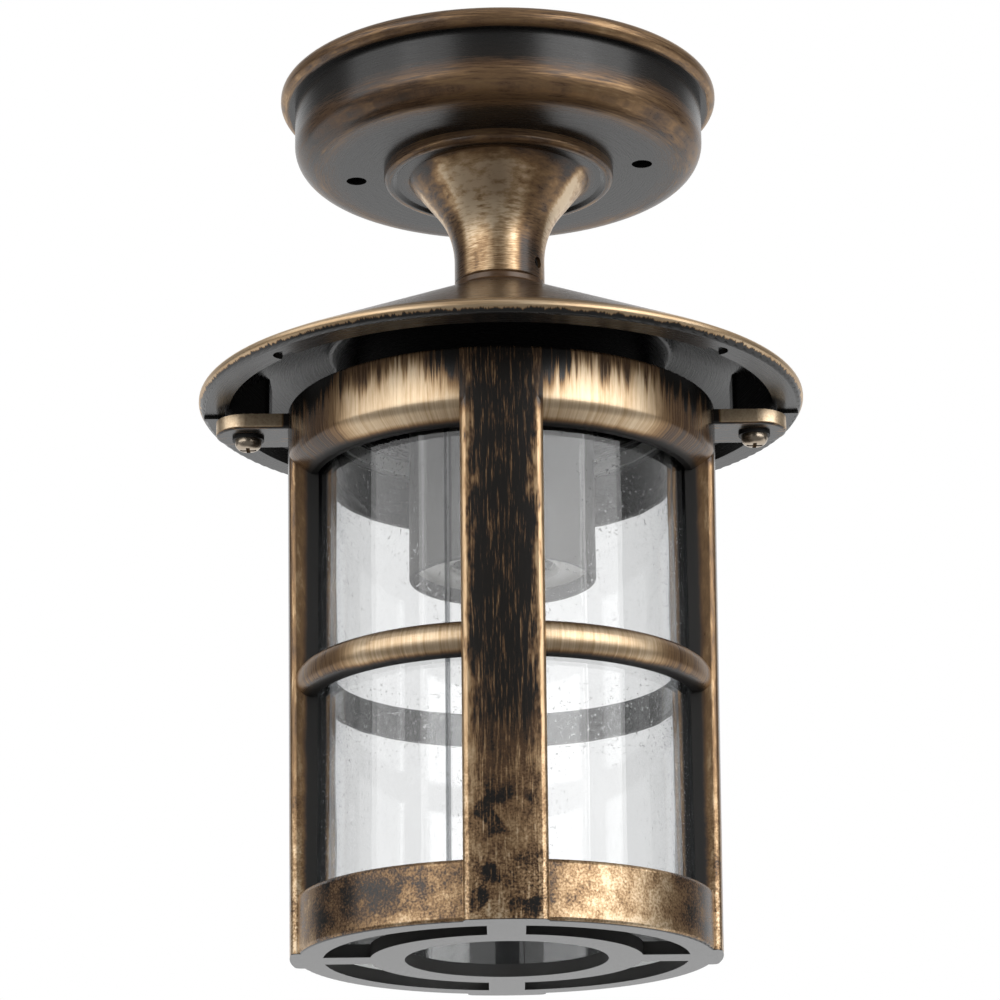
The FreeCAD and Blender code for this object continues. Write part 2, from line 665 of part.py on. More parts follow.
def foot_band():
    return turned([
        (FOOT_BAND_INNER, FOOT_BAND_TOP), (FOOT_BAND_RADIUS, FOOT_BAND_TOP, 1.2),
        (FOOT_BAND_RADIUS, CAGE_BOTTOM, 1.0), (FOOT_BAND_INNER - 2, CAGE_BOTTOM),
        (FOOT_BAND_INNER - 2, GRILLE_TOP), (FOOT_BAND_INNER, GRILLE_TOP),
    ])


def grille():
    bottom, top = -CAGE_BOTTOM, -GRILLE_TOP
    rim = ring(FOOT_BAND_INNER - 1, GRILLE_OPENING, bottom, top)
    centre = ring(RING_OUTER, RING_INNER, bottom, top)
    spokes = []
    for azimuth in FRONT_AZIMUTHS:
        spoke = Part.makeBox(SPOKE_WIDTH, GRILLE_OPENING - RING_OUTER + 3, top - bottom,
                             V(-SPOKE_WIDTH / 2, -GRILLE_OPENING - 1.5, bottom))
        spokes.append(spun(spoke, azimuth))
    return [rim, centre] + spokes


def cage():
    uprights = [spun(post(), azimuth) for azimuth in FRONT_AZIMUTHS]
    ears = [spun(ear(), azimuth) for azimuth in (90, 270)]
    body = fused([top_band(), mid_ring(), foot_band()] + grille() + uprights + ears)
    return body


def cage_screws():
    made = []
    for azimuth in (90, 270):
        x, y = at(CAGE_SCREW_CIRCLE / 2, azimuth)
        head = pan_head(CAGE_SCREW_HEAD, CAGE_HEAD_HEIGHT, -WASHER_FACE, 1)
        head.translate(V(x, y, 0))
        shank = rod(CAGE_SCREW_RADIUS, -WASHER_FACE, -EAR_TOP + CAGE_SCREW_REACH, x, y)
        crown = -WASHER_FACE - CAGE_HEAD_HEIGHT
        made.append(head.fuse(shank).cut(cross_recess(x, y, crown, 1)))
    return Part.makeCompound(made)


def cage_washers():
    made = []
    for azimuth in (90, 270):
        x, y = at(CAGE_SCREW_CIRCLE / 2, azimuth)
        disc = rod(CAGE_WASHER_RADIUS, -WASHER_FACE, -EAR_BOTTOM, x, y)
        made.append(disc.cut(rod(CAGE_SCREW_RADIUS + THREAD_GAP, -WASHER_FACE - 1, -EAR_BOTTOM + 1, x, y)))
    return Part.makeCompound(made)


# ---- glass -------------------------------------------------------------------------------------------------
def glass_cylinder():
    inner = GLASS_RADIUS - GLASS_WALL
    return turned([
        (inner, GLASS_TOP, GLASS_EDGE), (GLASS_RADIUS, GLASS_TOP, GLASS_EDGE),
        (GLASS_RADIUS, GLASS_BOTTOM, GLASS_EDGE), (inner, GLASS_BOTTOM, GLASS_EDGE),
    ])


def lower_seal():
    return ring(GLASS_RADIUS, GRILLE_OPENING, -GRILLE_TOP, -GLASS_BOTTOM)


def upper_seal():
    """Silicone channel that sits over the top edge of the glass."""
    inner = GLASS_RADIUS - GLASS_WALL
    wall = 1.0
    return turned([
        (inner - wall - FIT_GAP, SEAL_TOP), (GLASS_RADIUS + wall + FIT_GAP, SEAL_TOP),
        (GLASS_RADIUS + wall + FIT_GAP, GLASS_TOP + SEAL_FLANGE),
        (GLASS_RADIUS + FIT_GAP, GLASS_TOP + SEAL_FLANGE), (GLASS_RADIUS + FIT_GAP, GLASS_TOP),
        (inner - FIT_GAP, GLASS_TOP), (inner - FIT_GAP, GLASS_TOP + SEAL_FLANGE),
        (inner - wall - FIT_GAP, GLASS_TOP + SEAL_FLANGE),
    ])


# ---- wiring ------------------------------------------------------------------------------------------------
def pole_x(index):
    return (index - (BLOCK_POLES - 1) / 2) * BLOCK_PITCH


def terminal_block():
    body = block_outline(BLOCK_FOOT, BLOCK_FOOT + BLOCK_HEIGHT)
    top = BLOCK_FOOT + BLOCK_HEIGHT
    cutters = []
    for index in range(BLOCK_POLES):
        x = pole_x(index)
        for side in (-1, 1):
            start = V(x, BLOCK_Y + side * (BLOCK_DEPTH / 2 + 1), BLOCK_FOOT + ENTRY_HEIGHT)
            cutters.append(Part.makeCylinder(ENTRY_RADIUS, ENTRY_DEPTH + 1, start, V(0, -side, 0)))
            cutters.append(rod(CLAMP_SCREW_RADIUS + THREAD_GAP, BLOCK_FOOT + ENTRY_HEIGHT,
                               top + 1, x, BLOCK_Y + side * CLAMP_SPACING / 2))
    for index in range(BLOCK_POLES - 1):
        x = (pole_x(index) + pole_x(index + 1)) / 2
        for side in (-1, 1):
            cutters.append(Part.makeBox(1.4, 1.5, BLOCK_HEIGHT + 2,
                                        V(x - 0.7, BLOCK_Y + side * BLOCK_DEPTH / 2 - 0.75, BLOCK_FOOT - 1)))
    cutters.append(rod(EARTH_SCREW_RADIUS + THREAD_GAP, BLOCK_FOOT - 1, top + 1, 0, BLOCK_Y))
    return body.cut(cutters)


def clamp_screws():
    bottom = BLOCK_FOOT + ENTRY_HEIGHT + LEAD_RADIUS + FIT_GAP
    top = BLOCK_FOOT + BLOCK_HEIGHT - CLAMP_SCREW_SUNK
    width, depth = 0.7, 1.0
    made = []
    for index in range(BLOCK_POLES):
        for side in (-1, 1):
            y = BLOCK_Y + side * CLAMP_SPACING / 2
            screw = rod(CLAMP_SCREW_RADIUS, bottom, top, pole_x(index), y)
            slot = Part.makeBox(2 * CLAMP_SCREW_RADIUS + 1, width, depth,
                                V(pole_x(index) - CLAMP_SCREW_RADIUS - 0.5, y - width / 2, top - depth))
            made.append(screw.cut(slot))
    return Part.makeCompound(made)


def block_screw():
    top = BLOCK_FOOT + BLOCK_HEIGHT
    head = pan_head(EARTH_HEAD_RADIUS - 1.6, 1.6, top, -1)
    head.translate(V(0, BLOCK_Y, 0))
    return head.fuse(rod(EARTH_SCREW_RADIUS, block_screw_end(), top, 0, BLOCK_Y))


def earth_tag():
    """Ring tag of the earth lead, lying on its pad."""
    x, y = EARTH_POSITION
    bottom = CANOPY_FLOOR + EARTH_PAD_HEIGHT
    disc = rod(TAG_RADIUS, bottom, bottom + TAG_THICKNESS, x, y)
    tongue = Part.makeBox(TAG_RADIUS + TAG_BARREL, 3.0, TAG_THICKNESS, V(x, y - 1.5, bottom))
    axis = bottom + TAG_BARREL_RADIUS
    barrel = Part.makeCylinder(TAG_BARREL_RADIUS, TAG_BARREL - 1, V(x + TAG_RADIUS + 1, y, axis), V(1, 0, 0))
    lead_way = Part.makeCylinder(LEAD_RADIUS + FIT_GAP, TAG_BARREL + 3,
                                 V(x + TAG_RADIUS + 2, y, axis), V(1, 0, 0))
    body = disc.fuse([tongue, barrel]).removeSplitter()
    return body.cut([rod(EARTH_SCREW_RADIUS + THREAD_GAP, bottom - 1, bottom + 4, x, y), lead_way])


def earth_screw():
    x, y = EARTH_POSITION
    seat = CANOPY_FLOOR + EARTH_PAD_HEIGHT + TAG_THICKNESS
    head = pan_head(EARTH_HEAD_RADIUS, EARTH_HEAD_HEIGHT, seat, -1)
    head.translate(V(x, y, 0))
    shank = rod(EARTH_SCREW_RADIUS, earth_screw_end(), seat, x, y)
    return head.fuse(shank).cut(cross_recess(x, y, seat + EARTH_HEAD_HEIGHT, -1))


def lead_points():
    """Plan positions of the three leads inside the tube."""
    return [at(LEAD_SPREAD, azimuth) for azimuth in (270, 90, 180)]


def lead(index):
    """Lead from the lampholder, up the tube and over into the terminal block."""
    x, y = lead_points()[index]
    crest = TUBE_TOP + 1.2 * LEAD_BEND
    entry = V(pole_x(index * 2), BLOCK_Y - BLOCK_DEPTH / 2 + ENTRY_DEPTH * 0.7, BLOCK_FOOT + ENTRY_HEIGHT)
    before = V(entry.x, BLOCK_Y - BLOCK_DEPTH / 2 - LEAD_BEND * 1.4, entry.z)
    points = [V(x, y, -CORE_TOP - ENTRY_DEPTH * 0.7), V(x, y, crest), before, entry]
    return routed(points, LEAD_RADIUS, LEAD_BEND * 0.8)


def earth_lead():
    x, y = EARTH_POSITION
    height = CANOPY_FLOOR + EARTH_PAD_HEIGHT + TAG_BARREL_RADIUS
    start = V(x + TAG_RADIUS + 3, y, height)
    leaving = V(x + TAG_RADIUS + TAG_BARREL + 4, y, height)
    entry_z = BLOCK_FOOT + ENTRY_HEIGHT
    front = BLOCK_Y - BLOCK_DEPTH / 2
    points = [start, leaving, V(-3.0, 14.5, height + 1.5), V(0.0, front - 5.0, entry_z),
              V(0.0, front + ENTRY_DEPTH * 0.7, entry_z)]
    return routed(points, LEAD_RADIUS, 2.0)


NODES = {
    "canopy": canopy,
    "ceiling_gasket": ceiling_gasket,
    "stem": stem,
    "stem_grub_screw": grub_screw,
    "through_tube": through_tube,
    "toothed_washer": toothed_washer,
    "canopy_nut": canopy_nut,
    "hood": hood,
    "holder_nut": holder_nut,
    "lampholder_cup": lampholder_cup,
    "lampholder_core": lampholder_core,
    "lamp_screw_shell": screw_shell,
    "lamp_centre_contact": centre_contact,
    "holder_screws": holder_screws,
    "terminal_block": terminal_block,
    "terminal_clamp_screws": clamp_screws,
    "terminal_block_screw": block_screw,
    "earth_tag": earth_tag,
    "earth_screw": earth_screw,
    "live_lead": lambda: lead(0),
    "neutral_lead": lambda: lead(1),
    "earth_lead": earth_lead,
    "cage": cage,
    "cage_screws": cage_screws,
    "cage_washers": cage_washers,
    "glass_cylinder": glass_cylinder,
    "glass_lower_seal": lower_seal,
    "glass_upper_seal": upper_seal,
}


def main():
    os.makedirs("parts", exist_ok=True)
    for name, make in NODES.items():
        shape = make()
        box = shape.BoundBox
        print(f"{name:24s} solids {len(shape.Solids)} valid {shape.isValid()} "
              f"volume {shape.Volume:10.1f} z {box.ZMin:8.2f} {box.ZMax:8.2f}")
        shape.exportStep(f"parts/{name}.step")


main()
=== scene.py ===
"""Looks of the porch ceiling lantern: cast parts in black paint brushed over with antique gold, a clear
glass cylinder, a black lampholder and the wiring in the canopy. Objects are in metres, in the frame of the
model. Finishes measure in millimetres, and depths run down from the ceiling."""

import math

import bpy
from mathutils import Euler, Matrix, Vector


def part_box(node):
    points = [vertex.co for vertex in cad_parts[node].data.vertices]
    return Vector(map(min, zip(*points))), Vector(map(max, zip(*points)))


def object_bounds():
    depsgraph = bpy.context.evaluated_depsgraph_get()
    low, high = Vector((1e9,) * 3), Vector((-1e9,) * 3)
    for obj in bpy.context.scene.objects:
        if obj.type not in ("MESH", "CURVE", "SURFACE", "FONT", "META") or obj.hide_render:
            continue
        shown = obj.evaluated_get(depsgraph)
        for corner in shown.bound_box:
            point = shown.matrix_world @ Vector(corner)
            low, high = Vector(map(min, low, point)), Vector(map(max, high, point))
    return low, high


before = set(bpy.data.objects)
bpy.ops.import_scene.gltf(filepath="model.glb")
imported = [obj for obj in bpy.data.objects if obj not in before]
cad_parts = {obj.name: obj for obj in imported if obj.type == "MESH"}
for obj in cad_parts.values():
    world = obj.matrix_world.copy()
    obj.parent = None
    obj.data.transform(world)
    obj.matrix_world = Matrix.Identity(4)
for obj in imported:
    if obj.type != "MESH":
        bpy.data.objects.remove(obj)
cad_low, cad_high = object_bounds()
bpy.ops.object.select_all(action="DESELECT")

MM = 0.001


def depth_of(corner):
    return -corner.z / MM


# Depths that the finishes follow, from the nodes' own boxes
CANOPY_FLOOR = depth_of(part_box("canopy")[0])
HOOD_END = depth_of(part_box("hood")[0])
CAGE_BOTTOM, CAGE_TOP = (depth_of(corner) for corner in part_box("cage"))

# The hood's drop per millimetre of radius
CONE_PITCH = 0.4615

# Sizes that the finishes follow, in millimetres
PAINT_LINE_ABOVE_HOOD_END = 2.7
FOOT_BAND_HEIGHT = 15.3
POST_HALF = 10.4
MID_RING_HALF = 4.6
MID_RING_BELOW_MIDDLE = 1.7
EAR_START = 57.6
EAR_DEPTH = 5.4

# Relief of brush marks and mottles, in metres
FINE_RELIEF = 0.05 * MM

# Azimuth of the glass's mould line, in degrees from the front towards +X
SEAM_AZIMUTH = -17.0


# ---- shader helpers ------------------------------------------------------------------------------
class Value:
    """A node's output that takes part in Python expressions."""

    def __init__(self, tree, socket):
        self.tree = tree
        self.socket = socket

    def math(self, operation, *others):
        sockets = dict(enumerate((self, *others)))
        return self.tree.node("ShaderNodeMath", {"operation": operation}, sockets)

    def __add__(self, other):
        return self.math("ADD", other)

    __radd__ = __add__

    def __mul__(self, other):
        return self.math("MULTIPLY", other)

    __rmul__ = __mul__

    def __sub__(self, other):
        return self.math("SUBTRACT", other)

    def __rsub__(self, other):
        return self * -1.0 + other

    def __truediv__(self, other):
        return self.math("DIVIDE", other)

    def __pow__(self, other):
        return self.math("POWER", other)

    def __abs__(self):
        return self.math("ABSOLUTE")

    def least(self, other):
        return self.math("MINIMUM", other)

    def most(self, other):
        return self.math("MAXIMUM", other)

    def rise(self, low, high):
        """0 at low, 1 at high and smooth between; high may be the smaller one."""
        settings = {"interpolation_type": "SMOOTHSTEP"}
        sockets = {"Value": self, "From Min": low, "From Max": high}
        if high < low:
            sockets = {"Value": self, "From Min": high, "From Max": low, "To Min": 1.0, "To Max": 0.0}
        return self.tree.node("ShaderNodeMapRange", settings, sockets)


class Tree:
    """A node tree, with one method that adds any node."""

    def __init__(self, nodes, output_kind):
        self.nodes, self.links = nodes.nodes, nodes.links
        self.nodes.clear()
        self.output = self.nodes.new(output_kind)

    def node(self, kind, settings=None, sockets=None, output=0):
        made = self.nodes.new(kind)
        for name, value in (settings or {}).items():
            if name == "stops":
                set_stops(made.color_ramp, value)
            else:
                setattr(made, name, value)
        for name, value in (sockets or {}).items():
            if isinstance(value, Value):
                self.links.new(value.socket, made.inputs[name])
            else:
                made.inputs[name].default_value = value
        return Value(self, made.outputs[output])

    def outputs(self, kind):
        """All outputs of a new node, by name."""
        return {output.name: Value(self, output) for output in self.nodes.new(kind).outputs}

    def parts(self, vector):
        """X, Y and Z of a vector."""
        split = self.node("ShaderNodeSeparateXYZ", {}, {"Vector": vector}).socket.node
        return [Value(self, part) for part in split.outputs]

    def show(self, shader):
        self.links.new(shader.socket, self.output.inputs["Surface"])


class Finish(Tree):
    """A material's node tree."""

    def __init__(self, name):
        self.material = bpy.data.materials.new(name)
        self.material.use_nodes = True
        super().__init__(self.material.node_tree, "ShaderNodeOutputMaterial")

    def place(self):
        """Object position in millimetres as three values."""
        return [part / MM for part in self.parts(self.outputs("ShaderNodeTexCoord")["Object"])]

    def vector(self, x, y, z):
        return self.node("ShaderNodeCombineXYZ", {}, {"X": x, "Y": y, "Z": z})

    def noise(self, vector, detail=3.0, roughness=0.55):
        sockets = {"Vector": vector, "Scale": 1.0, "Detail": detail, "Roughness": roughness}
        return self.node("ShaderNodeTexNoise", {"noise_dimensions": "3D"}, sockets)

    def mix(self, share, low, high):
        """Colour between two colours."""
        settings = {"data_type": "RGBA"}
        return self.node("ShaderNodeMix", settings, {0: share, 6: low, 7: high}, output=2)

    def mix_shaders(self, share, low, high):
        return self.node("ShaderNodeMixShader", {}, {0: share, 1: low, 2: high})

    def bump(self, height, strength, distance):
        sockets = {"Height": height, "Strength": strength, "Distance": distance}
        return self.node("ShaderNodeBump", {}, sockets)

    def principled(self, **sockets):
        """Principled shader; names use _ for a space."""
        named = {name.replace("_", " "): value for name, value in sockets.items()}
        return self.node("ShaderNodeBsdfPrincipled", {}, named)


def set_stops(ramp, stops):
    while len(ramp.elements) < len(stops):
        ramp.elements.new(0.5)
    for element, (position, colour) in zip(ramp.elements, stops):
        element.position = position
        element.color = colour


def dress(finish, *nodes):
    """Puts a finish on every slot of nodes of the model."""
    for node in nodes:
        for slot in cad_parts[node].material_slots:
            slot.material = finish.material


# ---- antique gold over black -----------------------------------------------------------------------
# Colours of the finish by how far it is rubbed, from bare black to pale gold
RUBBED = [
    (0.00, (0.010, 0.0095, 0.009, 1.0)),
    (0.22, (0.014, 0.0115, 0.0095, 1.0)),
    (0.42, (0.095, 0.052, 0.026, 1.0)),
    (0.62, (0.30, 0.185, 0.095, 1.0)),
    (0.82, (0.58, 0.41, 0.245, 1.0)),
    (1.00, (0.78, 0.62, 0.43, 1.0)),
]
BLACK_ROUGHNESS = 0.27
GOLD_ROUGHNESS = 0.38
GOLD_METALLIC = 0.92


class Cast(Finish):
    """Antique finish on a cast part round the lantern's axis: its polar place and its brush marks."""

    def __init__(self, name):
        super().__init__(name)
        self.x, self.y, self.z = self.place()
        self.depth = self.z * -1.0
        self.radius = (self.x * self.x + self.y * self.y) ** 0.5
        self.across = self.x / self.radius
        self.along = self.y / self.radius

    def streaks(self, turn, rise, detail=3.0, roughness=0.6):
        """Noise with turn marks per radian round the axis and rise marks per millimetre of profile."""
        profile = self.z - self.radius
        vector = self.vector(self.across * turn, self.along * turn, profile * rise)
        return self.noise(vector, detail, roughness)

    def specks(self, per_mm, detail=2.0):
        vector = self.vector(self.x * per_mm, self.y * per_mm, self.z * per_mm)
        return self.noise(vector, detail, 0.6)

    def toward(self, azimuth, half_width):
        """1 near an azimuth from the front, falling to 0 at half_width degrees from it."""
        a = math.radians(azimuth)
        cosine = self.across * math.sin(a) - self.along * math.cos(a)
        return cosine.rise(math.cos(math.radians(half_width)), math.cos(math.radians(half_width * 0.35)))

    def paint(self, rub, brush, black_roughness=BLACK_ROUGHNESS):
        """Black where rub is 0, brown and then gold as it goes to 1."""
        colour = self.node("ShaderNodeValToRGB", {"stops": RUBBED}, {"Fac": rub})
        metal = rub.rise(0.30, 0.72)
        rough = (1.0 - metal) * black_roughness + metal * GOLD_ROUGHNESS + (brush - 0.5) * 0.12
        relief = self.bump(brush, 0.14, FINE_RELIEF)
        self.show(self.principled(Base_Color=colour, Metallic=metal * GOLD_METALLIC, Roughness=rough,
                                  Normal=relief))


def canopy_finish():
    """Brown brushing on the drum's side, round the flat underside and on the flange's bead, with painted
    shade on the left of the drum's side.
    """
    made = Cast("canopy_antique_gold")
    brush = made.streaks(7.0, 2.6, 4.0, 0.65)
    patches = made.streaks(1.7, 0.12, 2.0)
    side = made.depth.rise(CANOPY_FLOOR * 0.28, CANOPY_FLOOR * 0.82) * made.radius.rise(42.0, 51.5)
    flat = made.depth.rise(CANOPY_FLOOR - 0.6, CANOPY_FLOOR - 0.1) * made.radius.rise(36.0, 50.0)
    bead = made.radius.rise(55.6, 57.6)
    # Painted shade: the left of the drum's side gets less gold
    painted_left_shade = made.toward(-60, 50) * 0.10
    amount = (side * (0.47 - painted_left_shade)).most(flat * 0.47).most(bead * 0.56)
    rub = amount + (brush - 0.5) * (amount * 1.5 + 0.10) + (patches - 0.5) * amount * 1.1
    made.paint(rub, brush)
    return made


def stem_finish():
    """Brown collar and a gold flare, which has painted shade at each side and is browner at its foot."""
    made = Cast("stem_antique_gold")
    brush = made.streaks(4.5, 3.2, 4.0, 0.65)
    patches = made.streaks(2.6, 0.08, 2.0)
    collar = made.radius.rise(28.2, 29.4) * 0.44
    flare = made.radius.rise(29.0, 20.0)
    # Painted shade: dark patches on the flare at 44° and -66° from the front
    painted_flare_shade = made.toward(44, 26) * 0.42 + made.toward(-66, 22) * 0.36
    foot = made.depth.rise(38.0, 50.0) * 0.22
    amount = (flare * (0.90 - painted_flare_shade) - foot).most(collar) + 0.03
    rub = amount + (brush - 0.5) * (amount * 1.3 + 0.10) + (patches - 0.5) * amount
    made.paint(rub, brush)
    return made


def hood_finish():
    """Brushed brown roof with a gold brim that ends in a ragged line over the black underside."""
    made = Cast("hood_antique_gold")
    brush = made.streaks(4.0, 1.6)
    ragged = made.streaks(70.0, 0.25, 4.0, 0.7)
    paint_line = HOOD_END - PAINT_LINE_ABOVE_HOOD_END
    painted = (made.depth + (ragged - 0.5) * 2.4).rise(paint_line + 0.3, paint_line - 0.3)
    roof = (made.depth - made.radius * CONE_PITCH).rise(54.5, 52.6)
    brim = made.radius.rise(73.0, 78.0)
    neck = made.radius.rise(13.2, 12.4)
    outer_face = roof.most(brim)
    amount = (brim * 0.54 + neck * 0.10 + 0.32) * outer_face
    rub = (amount + (brush - 0.5) * 0.55 * outer_face * (1.0 - neck * 0.7)) * painted
    made.paint(rub, brush)
    return made


class Cage(Cast):
    """Antique finish of the cage, with a method for the rub of each of its forms; some of these rubs also
    hold painted shade and a painted highlight.
    """

    def __init__(self, name):
        super().__init__(name)
        self.lateral = abs(self.x).least(abs(self.y))
        self.down = self.streaks(85.0, 0.10, 4.0, 0.7)
        self.long = self.streaks(30.0, 0.03, 3.0, 0.6)
        self.sponge = self.specks(1.7, 4.0)
        # Painted shade: darker at 64° and 116° either way from the front, laid on the top band and the
        # middle ring
        self.painted_side_shade = sum(self.toward(azimuth, 22) for azimuth in (64, -64, 116, -116))
        self.low = self.depth.rise(CAGE_BOTTOM - 62.0, CAGE_BOTTOM - 22.0)

    def top_band(self):
        """Pale gold drawn downwards, with dark smears beside the posts and at the top, and painted shade
        left and right of the front and back.
        """
        beside_post = (self.lateral + (self.long - 0.5) * 22.0).rise(18.0, 12.0)
        smear = beside_post * self.depth.rise(CAGE_TOP + 14.0, CAGE_TOP + 6.0)
        high = (self.depth + (self.long - 0.5) * 26.0).rise(CAGE_TOP + 8.0, CAGE_TOP + 1.0)
        return 0.92 - smear * 0.52 - high * 0.45 - self.painted_side_shade * 0.52

    def middle_ring(self):
        """Where the ring is, and its rub: gold with dark outlines, and painted shade left and right of the
        front and back.
        """
        off_middle = abs(self.depth - ((CAGE_BOTTOM + CAGE_TOP) / 2 + MID_RING_BELOW_MIDDLE))
        where = off_middle.rise(MID_RING_HALF + 2.0, MID_RING_HALF)
        outline = off_middle.rise(MID_RING_HALF - 1.9, MID_RING_HALF - 0.4)
        return where, 0.90 - outline * 0.40 - self.painted_side_shade * 0.38

    def foot_band(self):
        """Where the foot band is, and its rub: sponged, with a painted highlight right of the front and
        painted shade at -48° and 64°.
        """
        band_top = CAGE_BOTTOM - FOOT_BAND_HEIGHT
        where = self.depth.rise(band_top - 2.0, band_top)
        hem = self.depth.rise(CAGE_BOTTOM - 4.5, CAGE_BOTTOM - 1.0) * 0.16
        # Painted shade at -48° and 64° from the front
        painted_end_shade = (self.toward(-48, 20) + self.toward(64, 14)) * 0.22
        # Painted highlight at 34° from the front
        return where, 0.55 + hem + self.toward(34, 20) * 0.22 - painted_end_shade

    def posts(self):
        """Where the posts are, and their rub: gold edges, a flecked black middle, sponged gold low down."""
        border = self.noise(self.vector(self.x * 0.30, self.y * 0.30, self.z * 0.10), 3.0, 0.7)
        side_post = self.along.rise(0.30, 0.10) * self.along.rise(-0.30, -0.10)
        from_middle = self.lateral + (self.long - 0.5) * 4.0 + (border - 0.5) * 7.0
        edge = from_middle.rise(6.6, 9.2) * (1.0 - side_post * 0.55)
        fleck = ((self.down - 0.53) * 2.6 + (border - 0.5) * 0.35).most(0.0)
        blot = self.specks(0.11, 1.0).rise(0.50, 0.60)
        blot = blot * self.depth.rise(CAGE_BOTTOM - 38.0, CAGE_BOTTOM - 26.0) * self.low
        hem = self.depth.rise(CAGE_BOTTOM - 6.0, CAGE_BOTTOM - 1.0)
        core = 0.16 + fleck + self.low * 0.40 - blot * 0.45 + hem * 0.25
        below_band = self.depth.rise(CAGE_TOP + 13.0, CAGE_TOP + 19.0)
        where = self.lateral.rise(POST_HALF + 0.25, POST_HALF - 0.05)
        return where, core + (0.76 - core) * edge * (below_band * 0.75 + 0.25)

    def ears(self):
        """Where the ears are, apart from their undersides, and their rub: gold."""
        upper = self.depth.rise(CAGE_TOP + EAR_DEPTH - 0.1, CAGE_TOP + EAR_DEPTH - 0.5)
        return self.radius.rise(EAR_START, EAR_START + 1.0) * upper, 0.95 + (self.sponge - 0.5) * 0.5


def over(below, layer):
    """A rub with another laid over it; layer is where that one is, and its rub."""
    where, rub = layer
    return below + (rub - below) * where


def cage_finish():
    made = Cage("cage_antique_gold")
    ring, foot, posts = made.middle_ring(), made.foot_band(), made.posts()
    in_foot, on_post = foot[0], posts[0]
    # The top band, middle ring and foot band bring painted shade and a painted highlight into this rub
    amount = over(over(over(made.top_band(), ring), foot), posts)
    # Brush marks run down, and turn into a sponge's marks on the foot band and low on the posts
    low_post = made.low * on_post
    sponged = (in_foot * (1.0 - on_post) + low_post).least(1.0) * 0.85
    grain = made.down + (made.sponge - made.down) * sponged
    strength = 0.62 + in_foot * 0.75 + low_post * 0.5
    clouds = made.specks(0.16, 2.0)
    rub = amount + (grain - 0.5) * strength
    rub = rub + (made.long - 0.5) * 0.45 * (1.0 - in_foot) * (1.0 - on_post)
    rub = rub + (clouds - 0.5) * 0.9 * (in_foot + low_post).least(1.0)
    rub = over(rub, made.ears())
    # The inside is nearly bare black and duller, and the underside is bare
    outside = made.radius.rise(50.6, 53.2)
    above_underside = made.depth.rise(CAGE_BOTTOM - 0.05, CAGE_BOTTOM - 0.30)
    rub = rub * (outside * 0.86 + 0.14) * above_underside
    made.paint(rub, grain, 0.24 + (1.0 - outside) * above_underside * 0.40)
    return made


# ---- the other materials ----------------------------------------------------------------------------
def plain(name, colour, roughness, metallic=0.0, grain=0.06, per_mm=1.2, **more):
    """Even material with a fine mottle in its colour, gloss and surface."""
    made = Finish(name)
    x, y, z = made.place()
    mottle = made.noise(made.vector(x * per_mm, y * per_mm, z * per_mm), 3.0)
    dark = tuple(c * (1.0 - grain * 1.6) for c in colour) + (1.0,)
    light = tuple(min(1.0, c * (1.0 + grain)) for c in colour) + (1.0,)
    rough = mottle * grain * 2.0 + (roughness - grain)
    relief = made.bump(mottle, grain, FINE_RELIEF)
    made.show(made.principled(Base_Color=made.mix(mottle, dark, light), Roughness=rough,
                              Metallic=metallic, Normal=relief, **more))
    return made


def clear_glass():
    """Moulded glass with fine seeds, darker where it is seen edge on, and the mould's upright line, tinted
    near black on the front half as painted shade.
    """
    made = Finish("clear_moulded_glass")
    x, y, z = made.place()
    seeds = made.noise(made.vector(x * 1.1, y * 1.1, z * 1.1), 2.0).rise(0.66, 0.74)
    waves = made.noise(made.vector(x * 0.07, y * 0.07, z * 0.03), 1.0)
    relief = made.bump(seeds * 0.5 + waves, 0.22, 0.4 * MM)
    turn = math.radians(SEAM_AZIMUTH)
    off_seam = abs(x * math.cos(turn) + y * math.sin(turn))
    # The mould line is real; its near-black tint is painted shade standing for the refraction along its
    # ridge
    mould_line_and_painted_shade = off_seam.rise(0.50, 0.22) * y.rise(0.0, -1.0)
    edge_on = made.node("ShaderNodeLayerWeight", {}, {"Blend": 0.5}, output="Facing").rise(0.50, 0.90)
    tint = made.mix(edge_on, (0.855, 0.86, 0.862, 1.0), (0.60, 0.64, 0.68, 1.0))
    tint = made.mix(mould_line_and_painted_shade, tint, (0.05, 0.055, 0.06, 1.0))
    glass = made.principled(Base_Color=tint, Roughness=0.012, IOR=1.5, Transmission_Weight=1.0,
                            Normal=relief)
    clear = made.node("ShaderNodeBsdfTransparent", {}, {"Color": (0.93, 0.95, 0.955, 1.0)})
    made.show(made.mix_shaders(made.outputs("ShaderNodeLightPath")["Is Shadow Ray"], glass, clear))
    return made


